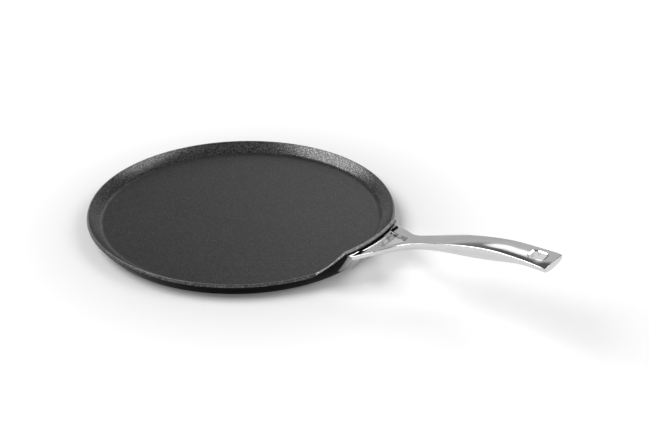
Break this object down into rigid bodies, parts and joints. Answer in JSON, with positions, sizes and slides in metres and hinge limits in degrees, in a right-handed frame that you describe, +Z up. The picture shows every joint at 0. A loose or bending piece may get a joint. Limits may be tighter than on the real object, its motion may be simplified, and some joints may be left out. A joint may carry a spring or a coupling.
{
  "type": "crepe pan",
  "caption": "Low round crepe pan with a non-stick inside, a raised tab on its rim, and a long riveted metal handle with a forked root and a hang hole.",
  "frame": {"origin": "centre of the flat resting face under the pan", "axes": "+X from the pan's centre along the handle, +Z up from the resting face"},
  "size_m": [0.4643, 0.2856, 0.0687],
  "materials": {
    "coated_aluminium": "dark non-stick coating with fine light specks",
    "base_steel": "spun, satin",
    "polished_steel": "mirror polished stainless steel",
    "rivet_steel": "satin"
  },
  "bodies": {
    "root": {"pan_body": "coated_aluminium", "base_disc": "base_steel", "handle": "polished_steel", "rivet_left": "rivet_steel", "rivet_right": "rivet_steel"}
  },
  "joints": []
}
